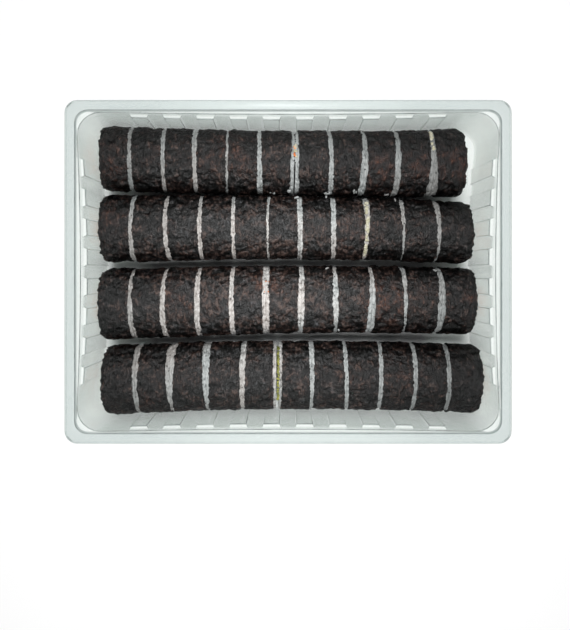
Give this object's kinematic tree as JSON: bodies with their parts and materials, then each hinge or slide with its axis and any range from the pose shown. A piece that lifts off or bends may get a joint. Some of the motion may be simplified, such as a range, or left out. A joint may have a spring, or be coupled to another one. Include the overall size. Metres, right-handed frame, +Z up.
{
  "type": "takeaway sushi tray",
  "caption": "Rows of sliced maki rolls wrapped in nori, standing in a clear ribbed plastic takeaway tray with a flanged rim and no lid.",
  "frame": {"origin": "middle of the tray's flat underside, on the surface that it stands on", "axes": "+X along the rolls and the tray's longer side, +Y across the rolls, +Z up"},
  "size_m": [0.23, 0.177, 0.042],
  "materials": {
    "tray_plastic": "clear thermoformed sheet, slightly cloudy and cool grey-green, glossy",
    "nori": "toasted seaweed, finely wrinkled, near black with brown patches and a soft sheen",
    "rice": "cooked sushi rice, moist white grains",
    "filling": "chopped orange filling with dark green and black bits, moist"
  },
  "bodies": {
    "root": {"tray": "tray_plastic", "roll_1_slice_01": "nori", "roll_1_slice_02": "nori", "roll_1_slice_03": "nori", "roll_1_slice_04": "nori", "roll_1_slice_05": "nori", "roll_1_slice_06": "nori", "roll_1_slice_07": "nori", "roll_1_slice_08": "nori", "roll_1_slice_09": "nori", "roll_1_slice_10": "nori", "roll_1_slice_11": "nori", "roll_2_slice_01": "nori", "roll_2_slice_02": "nori", "roll_2_slice_03": "nori", "roll_2_slice_04": "nori", "roll_2_slice_05": "nori", "roll_2_slice_06": "nori", "roll_2_slice_07": "nori", "roll_2_slice_08": "nori", "roll_2_slice_09": "nori", "roll_2_slice_10": "nori", "roll_2_slice_11": "nori", "roll_3_slice_01": "nori", "roll_3_slice_02": "nori", "roll_3_slice_03": "nori", "roll_3_slice_04": "nori", "roll_3_slice_05": "nori", "roll_3_slice_06": "nori", "roll_3_slice_07": "nori", "roll_3_slice_08": "nori", "roll_3_slice_09": "nori", "roll_3_slice_10": "nori", "roll_3_slice_11": "nori", "roll_4_slice_01": "nori", "roll_4_slice_02": "nori", "roll_4_slice_03": "nori", "roll_4_slice_04": "nori", "roll_4_slice_05": "nori", "roll_4_slice_06": "nori", "roll_4_slice_07": "nori", "roll_4_slice_08": "nori", "roll_4_slice_09": "nori", "roll_4_slice_10": "nori", "roll_4_slice_11": "nori"}
  },
  "joints": []
}
